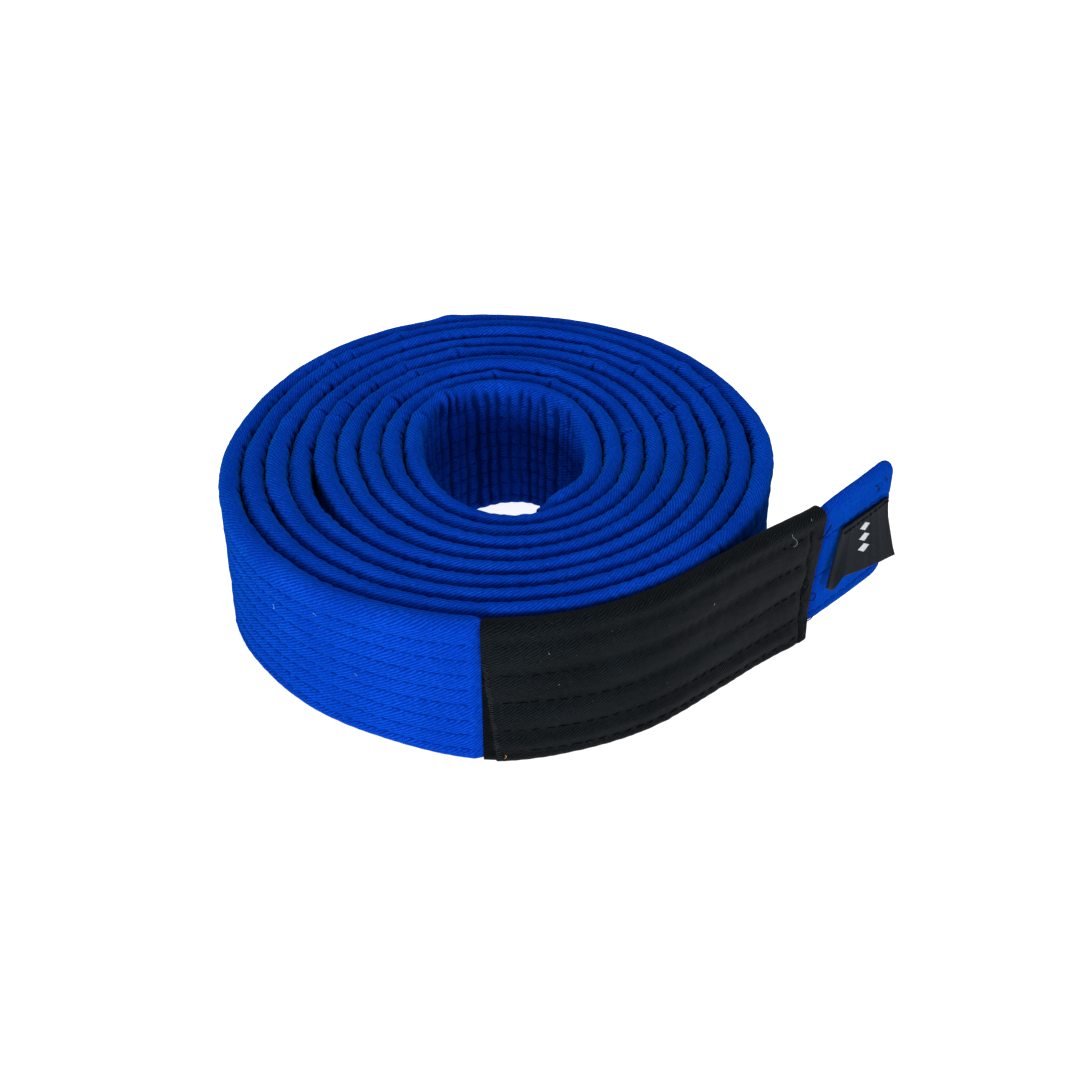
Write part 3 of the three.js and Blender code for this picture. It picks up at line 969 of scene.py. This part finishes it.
def make_roll():
    """The roll itself, in several pieces end to end. Those that are shown have a finer mesh."""
    ends = [INNER_FLEX_END, EYE_SHOWN, 1060, 1560, 2000, 2400, RIM_SHOWN, 2960, TURN_FLEX_START]
    for number, (start, stop) in enumerate(zip(ends, ends[1:]), 1):
        outer = SHOWN_FACE if stop > RIM_SHOWN else HIDDEN_FACE
        inner = SHOWN_FACE if start < EYE_SHOWN else HIDDEN_FACE
        piece = strip_object(f"belt_roll_{number}", start, stop, outer, inner)
        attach(piece, "coil")
        if number == 1:
            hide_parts(*cad_stretch("coil"))
    eye = belt_stitches("eye_stitches", row_places(INNER_FLEX_END, EYE_SHOWN, (-1,)))
    rim = belt_stitches("rim_stitches", row_places(RIM_STITCHED, TURN_FLEX_START, (1,)))
    for piece in (eye, rim):
        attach(piece, "coil")


def make_outer_turn():
    flex = strip_object("belt_outer_turn", TURN_FLEX_START, TURN_FLEX_END, SHOWN_FACE, SHOWN_FACE)
    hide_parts(*cad_stretch("outer_turn"))
    stitches = belt_stitches("outer_turn_stitches", row_places(TURN_FLEX_START, TURN_FLEX_END, (1, -1)))
    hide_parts(*[f"quilt_row_{row}" for row in range(1, 9)])
    for piece in (flex, stitches):
        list(bend_at(OUTER_TURN_HINGE, -8, 11))
        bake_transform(piece)


def make_bar():
    flex = strip_object("belt_bar", TURN_FLEX_END, BAR_END, SHOWN_FACE, SHOWN_FACE, STEP * 0.8)
    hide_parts(*cad_stretch("bar"))
    stitches = belt_stitches("bar_stitches", row_places(TURN_FLEX_END, SLEEVE_START - 1, (1, -1)))
    for piece in (flex, stitches):
        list(bend_at(BAR_HINGE, -2.5, 7.5))
        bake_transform(piece)


def belt_fibre(winding, height, out, start, size):
    """A loose fibre on the belt, given by its first direction and its length."""
    t = np.linspace(0, 1, 15)
    heading = start + 2.4 * t
    length = length_at(winding) + np.cumsum(np.cos(heading)) * size / 15
    tall = height + np.cumsum(np.sin(heading)) * size / 15
    return np.stack([length, tall, out + 0.15 * np.sin(np.pi * t)], -1)


def make_lint():
    """Loose fibres on the roll's face and on one of its folds."""
    face = FACE_HALF + PAD + 0.1
    fibres = [
        belt_fibre(3176, 30, face, 0.3, 2.2),
        belt_fibre(3188, 36, face, 1.5, 1.6),
        belt_fibre(3196, 22, face, 1.2, 1.2),
        belt_fibre(3150, 33, face, -0.5, 1.8),
    ]
    lint = laid_threads("belt_lint", fibres, 0.13, BLUE_LINT)
    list(bend_at(OUTER_TURN_HINGE, -8, 11))
    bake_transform(lint)


def make_tip():
    flex = strip_object("belt_tip", TIP_FLEX_START, BELT_END, SHOWN_FACE, SHOWN_FACE, STEP * 0.7)
    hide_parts(*cad_stretch("tip"))
    places = row_places(SLEEVE_END - 1, BELT_END - 1.5, (1, -1), TIP_ROWS)
    stitches = belt_stitches("tip_stitches", places)
    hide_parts("tip_row_1", "tip_row_2", "tip_row_3")
    for piece in (flex, stitches):
        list(bend_at(TIP_HINGE, -3.5, 3.5))
        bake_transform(piece)
    make_tip_tails()


def make_tip_tails():
    """Two cut thread ends that curl on the tip above the label."""
    face = belt_face(np.array([float(TAILS_AT)]), np.array([36.0]), np.array([1.0]))[0] + 0.35
    cut_ends = [
        belt_fibre(TAILS_AT - 1.6, 34.4, face, 0.9, 4.2),
        belt_fibre(TAILS_AT + 1.2, 36, face, 0.8, 2.4),
    ]
    tails = laid_threads("tip_thread_tails", cut_ends, 0.26, BLACK_THREAD)
    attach(tails, "tip")


# ---- the rank sleeve ----


def sleeve_half(winding, height):
    """Distance of the sleeve's cloth from the middle line, swelling between its rows of stitches."""
    length = length_at(winding)
    distance = row_distance(height, SLEEVE_ROWS)
    swell = SLEEVE_PAD * (1 - bell(distance, 2.0)) * (1 - 0.75 * smooth(37, 43, height))
    start = length - length_at(SLEEVE_START)
    stop = length_at(SLEEVE_END) - length
    ends = smooth(0, 6, start) * smooth(2, 9, stop)
    slack = 0.12 * ripple(length, height, 61, 60, 14, 6) + 0.05 * ripple(length, height, 62, 9, 2.6, 8)
    tucks = 0.08 * bell(distance, 1.5) * np.cos(2 * np.pi * length / STITCH + 2 * wander(length, 63, 50, 11))
    hang = 1.5 * (1 - smooth(0, 24, stop)) * (1 - smooth(0, 16, height))
    return SLEEVE_HALF + swell * ends + slack + tucks + hang - sleeve_hollow(winding, height)


def sleeve_hollow(winding, height):
    """Depth of the turned-in left edge and of the groove along the closing seam at the right."""
    start = length_at(winding) - length_at(SLEEVE_START)
    stop = length_at(SLEEVE_END) - length_at(winding)
    under = HEM_STEP * (1 - smooth(-0.12, 0.12, start - left_hem(height))) * smooth(0, 0.4, left_hem(height))
    groove = 0.5 * bell(stop - right_seam(height), 0.7) * (1 - smooth(38, 41, height))
    return under + groove


def left_hem(height):
    """How far the edge of the sleeve's top layer slants away from its left end."""
    return 3.3 * np.clip(1 - height / 35, 0, 1)


def right_seam(height):
    """Distance of the closing seam from the sleeve's right end."""
    return 2.6 + 3.4 * height / BELT_WIDTH + 0.35 * wander(np.asarray(height, float), 64, 30, 7)


def sleeve_face(winding, height, side):
    return side * sleeve_half(winding, height)


def sleeve_ring(winding, inset):
    """Offsets and heights round the sleeve: its outer surface for inset 0, its inner one for a cloth's
    thickness."""
    winding = winding[:, None]
    heights = np.linspace(LOW_FOLD, TOP_FOLD, 68)[None, :]
    angle = (np.arange(1, 12) / 12 * np.pi)[None, :]
    outer = sleeve_half(winding, heights) - inset
    top = sleeve_half(winding, TOP_FOLD) - inset
    low = sleeve_half(winding, LOW_FOLD) - inset
    reach = FOLD - inset
    offsets = [outer, top * np.cos(angle), -outer[:, ::-1], -low * np.cos(angle)]
    tall = [
        heights + 0 * winding,
        TOP_FOLD + reach * np.sin(angle) + 0 * winding,
        heights[:, ::-1] + 0 * winding,
        LOW_FOLD - reach * np.sin(angle) + 0 * winding,
    ]
    offset, height = (np.concatenate([part + 0 * winding for part in parts], 1) for parts in (offsets, tall))
    return offset, sleeve_height(winding, height)


def sleeve_height(winding, nominal):
    """The sleeve's top edge dips a little towards its right end, and its lower right corner hangs down."""
    length = length_at(winding) - length_at(SLEEVE_START)
    total = length_at(SLEEVE_END) - length_at(SLEEVE_START)
    dip = 0.9 * smooth(0.5 * total, total, length)
    top = BELT_WIDTH - 0.5 - dip - 1.8 * smooth(0.78 * total, total, length)
    low = 0.9 * smooth(0, 30, length) * (1 - smooth(total - 12, total, length))
    return low + nominal / BELT_WIDTH * (top - low)


def sleeve_columns():
    start, stop = length_at(SLEEVE_START), length_at(SLEEVE_END)
    return winding_at(np.linspace(start, stop, round((stop - start) / STEP)))


def sleeve_lean(length, height):
    """How far the sleeve's right end leans out along the belt. Its top corner is rounded."""
    near = smooth(length_at(SLEEVE_END) - 30, length_at(SLEEVE_END), length)
    corner = np.maximum(0, height - SLEEVE_CORNER) / (BELT_WIDTH - SLEEVE_CORNER)
    return near * (-2.4 + 6.2 * height / BELT_WIDTH - 3.4 * corner**2)


def sleeve_surface(winding, inset):
    offset, height = sleeve_ring(winding, inset)
    length = length_at(winding)[:, None]
    point, _, outward = middle_line(winding_at(length + sleeve_lean(length, height)))
    flat = point + offset[..., None] * outward
    return np.concatenate([flat, height[..., None]], -1)


def sleeve_cloth(winding, loop, outer_heights):
    """Cloth coordinates at the corners of the sleeve's faces. The third one sets the painted shade along the
    turned-in left edge and the closing seam's groove.
    """
    along = length_at(np.concatenate([winding, winding[::-1]]))
    step = np.linalg.norm(np.diff(loop, axis=1, append=loop[:, :1]), axis=-1)
    across = np.concatenate([np.zeros((len(loop), 1)), np.cumsum(step, axis=1)], axis=1)
    # Painted shade: the outer face darkens where its turned-in left edge and its seam groove lie low; the
    # inner face gets none.
    under = sleeve_hollow(winding[:, None], outer_heights)
    shade_depth = np.concatenate([under, 0 * under], axis=0)
    shade_depth = np.concatenate([shade_depth, shade_depth[:, :1]], axis=1)
    cloth = np.stack([np.broadcast_to(along[:, None], across.shape), across, 1.2 * shade_depth], -1)
    wrapped = np.concatenate([cloth, cloth[:1]], axis=0)
    return np.stack([wrapped[:-1, :-1], wrapped[1:, :-1], wrapped[1:, 1:], wrapped[:-1, 1:]], -2)


def make_sleeve():
    """A wrap of black twill: one closed band with an outer and an inner surface."""
    winding = sleeve_columns()
    outer = sleeve_surface(winding, 0)
    inner = sleeve_surface(winding, SLEEVE_CLOTH)
    loop = np.concatenate([outer, inner[::-1]], axis=0)
    count, ring = loop.shape[:2]
    vertex = np.arange(count * ring).reshape(count, ring)
    after = np.roll(vertex, -1, axis=0)
    corners = [vertex, after, np.roll(after, -1, axis=1), np.roll(vertex, -1, axis=1)]
    quads = np.stack(corners, -1).reshape(-1, 4)
    values = sleeve_cloth(winding, loop, outer[..., 2])
    made = mesh_from("rank_sleeve_cloth", loop.reshape(-1, 3), [quads], values.reshape(-1, 3))
    made.data.materials.append(BLACK)
    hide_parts("rank_sleeve")
    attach(made, "bar")


def sew_sleeve():
    start, stop = length_at(SLEEVE_START), length_at(SLEEVE_END)
    places = row_places(SLEEVE_START, SLEEVE_END, (1, -1), SLEEVE_ROWS)
    places = [place for place in places if start + 4 < place[0] < stop - 5]
    rows = sew("sleeve_stitches", places, sleeve_face, **BLACK_STITCH)
    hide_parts(*[f"sleeve_row_{row}" for row in range(1, 6)])
    heights = np.arange(2, 33, 0.62)
    edge = [(start + left_hem(height) + 0.55, height, 1) for height in heights]
    hem = sew("sleeve_hem_stitches", edge, sleeve_face, **HEM_STITCH)
    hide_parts("sleeve_seam_left")
    upright = [end_stitch(height) for height in np.arange(3, 39, 2.6)]
    seam = laid_threads("sleeve_end_stitches", upright, 0.34, BLACK_THREAD)
    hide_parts("sleeve_seam_right")
    tails = laid_threads("sleeve_thread_tails", TAILS_LAID, 0.3, BLACK_THREAD)
    for piece in (rows, hem, seam, tails):
        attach(piece, "bar")
    lint = laid_threads("sleeve_lint", LINT_LAID, 0.11, LINT)
    speck = laid_threads("sleeve_speck", [curl(SLEEVE_LEFT + 5, 2.6, 1.3, 0.9, 1.5, 3)], 0.2, RUST_LINT)
    for piece in (lint, speck):
        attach(piece, "bar")


def end_stitch(height):
    """One upright stitch of the closing seam at the sleeve's right end."""
    up = height + np.linspace(-1.1, 1.1, 7)
    length = length_at(SLEEVE_END) - right_seam(up)
    out = sleeve_half(winding_at(length), up) + 0.1 - 0.25 * np.abs(np.linspace(-1, 1, 7)) ** 3
    return np.stack([length + sleeve_lean(length, up), up, out], -1)


def curl(length, height, size, start, bend, wave):
    """A loose fibre lying in a curl: where it starts, its length, its first direction, how far it turns on
    the way, and where its wave begins."""
    t = np.linspace(0, 1, 25)
    heading = start + bend * (t + 0.4 * np.sin(5 * t + wave))
    step = size / len(t)
    along = length + np.cumsum(step * np.cos(heading))
    up = height + np.cumsum(step * np.sin(heading))
    on_cloth = np.minimum(along, length_at(SLEEVE_END) - 0.1)
    out = sleeve_half(winding_at(on_cloth), up) + 0.12 + 0.06 * size * np.sin(np.pi * t)
    return np.stack([along + sleeve_lean(on_cloth, up), up, out], -1)


SLEEVE_LEFT = length_at(SLEEVE_START)
SLEEVE_RIGHT = length_at(SLEEVE_END)
TAILS_LAID = [
    curl(SLEEVE_RIGHT - 2.6, 33, 5.5, 0.1, 0.5, 5),
    curl(SLEEVE_RIGHT - 2.8, 16, 8, 0.9, 3.4, 2),
    curl(SLEEVE_RIGHT - 2.8, 14.5, 7, -0.4, 2.6, 9),
    curl(SLEEVE_RIGHT - 1.6, 7, 4, 0.8, -1.0, 12),
]
LINT_LAID = [
    curl(SLEEVE_RIGHT - 13.2, 40.6, 5.2, -0.7, -2.2, 2),
    curl(SLEEVE_RIGHT - 6.5, 41, 0.8, 1.0, 0.5, 4),
    curl(SLEEVE_RIGHT - 40, 33, 0.7, 1.0, 1.0, 6),
    curl(SLEEVE_RIGHT - 84, 35, 0.7, 1.5, 1.0, 7),
    curl(SLEEVE_RIGHT - 82, 25, 0.5, 0.5, 1.0, 8),
    curl(SLEEVE_RIGHT - 30, 9, 0.6, 0.5, 1.0, 9),
]


# ---- the label ----


def label_material():
    """A fine dark weave with a column of three light lozenges woven in."""
    shades = Shades("label_weave")
    _, along, down, _ = shades.cloth()
    picks = shades.math("SINE", shades.math("MULTIPLY", down, 2 * math.pi / 0.5))
    ends = shades.math("SINE", shades.math("MULTIPLY", along, 2 * math.pi / 0.4))
    weave = shades.math("MULTIPLY_ADD", shades.math("MULTIPLY", picks, ends), 0.5, 0.5)
    sideways = shades.math("ABSOLUTE", shades.math("SUBTRACT", along, LABEL_WIDTH * 0.5))
    upward = shades.math("PINGPONG", shades.math("ADD", down, -0.9), 1.65)
    reach = shades.math("MULTIPLY_ADD", sideways, 0.6, upward)
    inside = shades.math("LESS_THAN", reach, 1.3)
    low = shades.math("GREATER_THAN", down, 2.5)
    high = shades.math("LESS_THAN", down, 12.4)
    motif = shades.math("MULTIPLY", inside, shades.math("MULTIPLY", low, high))
    ground = shades.mix(weave, colour(5, 9, 13), colour(16, 22, 29))
    white = shades.mix(weave, colour(120, 125, 130), colour(225, 228, 230))
    base = shades.mix(motif, ground, white)
    return shades.finish(base, 0.6, shades.math("ADD", weave, motif), 0.05, 0.12, colour(200, 210, 230))


# How the label's free edge hangs, at shares of its width: how far down, out from the belt, and along it.
LABEL_HANG = {
    "across": [0, 0.07, 0.13, 0.22, 0.5, 1],
    "down": [14.4, 16.3, 16.3, 13.1, 14.2, 15.7],
    "out": [1.9, 2.0, 2.3, 2.8, 3.9, 5.3],
    "along": [-6.5, -6.5, -6.1, -6.1, -4.4, -1.4],
}


def label_hang(across, key):
    """A rounded reading of the table above."""
    knots = LABEL_HANG["across"]
    return np.mean([np.interp(across + away, knots, LABEL_HANG[key]) for away in (-0.025, 0, 0.025)], axis=0)


def label_point(across, share, layer):
    """A point of the label, at a share of the way across and down, and layer out from the belt's side."""
    stand = 0.5 + label_hang(across, "out") * share**1.2
    drop = label_hang(across, "down") * share
    winding = winding_at(length_at(LABEL_START) + across * LABEL_WIDTH)
    point, forward, outward = middle_line(winding)
    base = belt_face(winding, 0 * winding + LABEL_TOP, 1.0 + 0 * winding)
    offset = base + stand + layer
    slide = label_hang(across, "along") * share**1.2 - 0.9 * np.sin(np.pi * share) * smooth(0.4, 1, across)
    flat = point + offset[..., None] * outward + slide[..., None] * forward
    return np.concatenate([flat, (LABEL_TOP - drop)[..., None]], -1)


def label_surface(across, depth, out):
    """The ribbon's surface at a depth out from the middle of its fold: down the front, round, up the back."""
    down = np.linspace(0, 1, 36)
    angle = np.linspace(0, np.pi, 9)[1:-1]
    wide, share = np.meshgrid(across, down, indexing="ij")
    front = label_point(wide, share, out + depth)
    back = label_point(wide, share, out - depth)
    middle = (front[:, -1] + back[:, -1]) / 2
    reach = (front[:, -1] - back[:, -1]) / 2
    fold = middle[:, None] + np.cos(angle)[None, :, None] * reach[:, None]
    fold[..., 2] -= depth * np.sin(angle)[None, :]
    lengths = np.concatenate([down, 1 + angle * 0.02, 2 - down[::-1]]) * LABEL_LENGTH
    return np.concatenate([front, fold, back[:, ::-1]], axis=1), lengths


def make_label():
    """One ribbon folded double."""
    across = np.linspace(0, 1, 60)
    outside, lengths = label_surface(across, LABEL_CLOTH + LABEL_GAP / 2, LABEL_CLOTH)
    inside, _ = label_surface(across, LABEL_GAP / 2, LABEL_CLOTH)
    ring = np.concatenate([outside, inside[:, ::-1]], axis=1)[:, ::-1]
    lengths = np.concatenate([lengths, lengths[::-1]])[::-1]
    cloth = np.stack(np.meshgrid(across * LABEL_WIDTH, np.append(lengths, lengths[0]), indexing="ij"), -1)
    cloth = np.concatenate([cloth, 0 * cloth[..., :1]], -1)
    made = tube_object("size_label_cloth", ring, cloth, label_material())
    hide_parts("size_label")
    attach(made, "label")
    places = [(length_at(LABEL_START) + 1.4 + 1.9 * i, LABEL_TOP - 0.6, 1) for i in range(11)]
    seam = sew("label_stitches", places, label_seam_face, **LABEL_STITCH)
    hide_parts("label_stitch")
    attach(seam, "tip")


def label_seam_face(winding, height, side):
    return belt_face(winding, height, side) + 0.7 + 2 * LABEL_CLOTH + LABEL_GAP / 2


make_camera()
make_floor()
make_studio()
make_inner_end()
make_roll()
make_outer_turn()
make_bar()
make_lint()
make_tip()
make_sleeve()
sew_sleeve()
make_label()
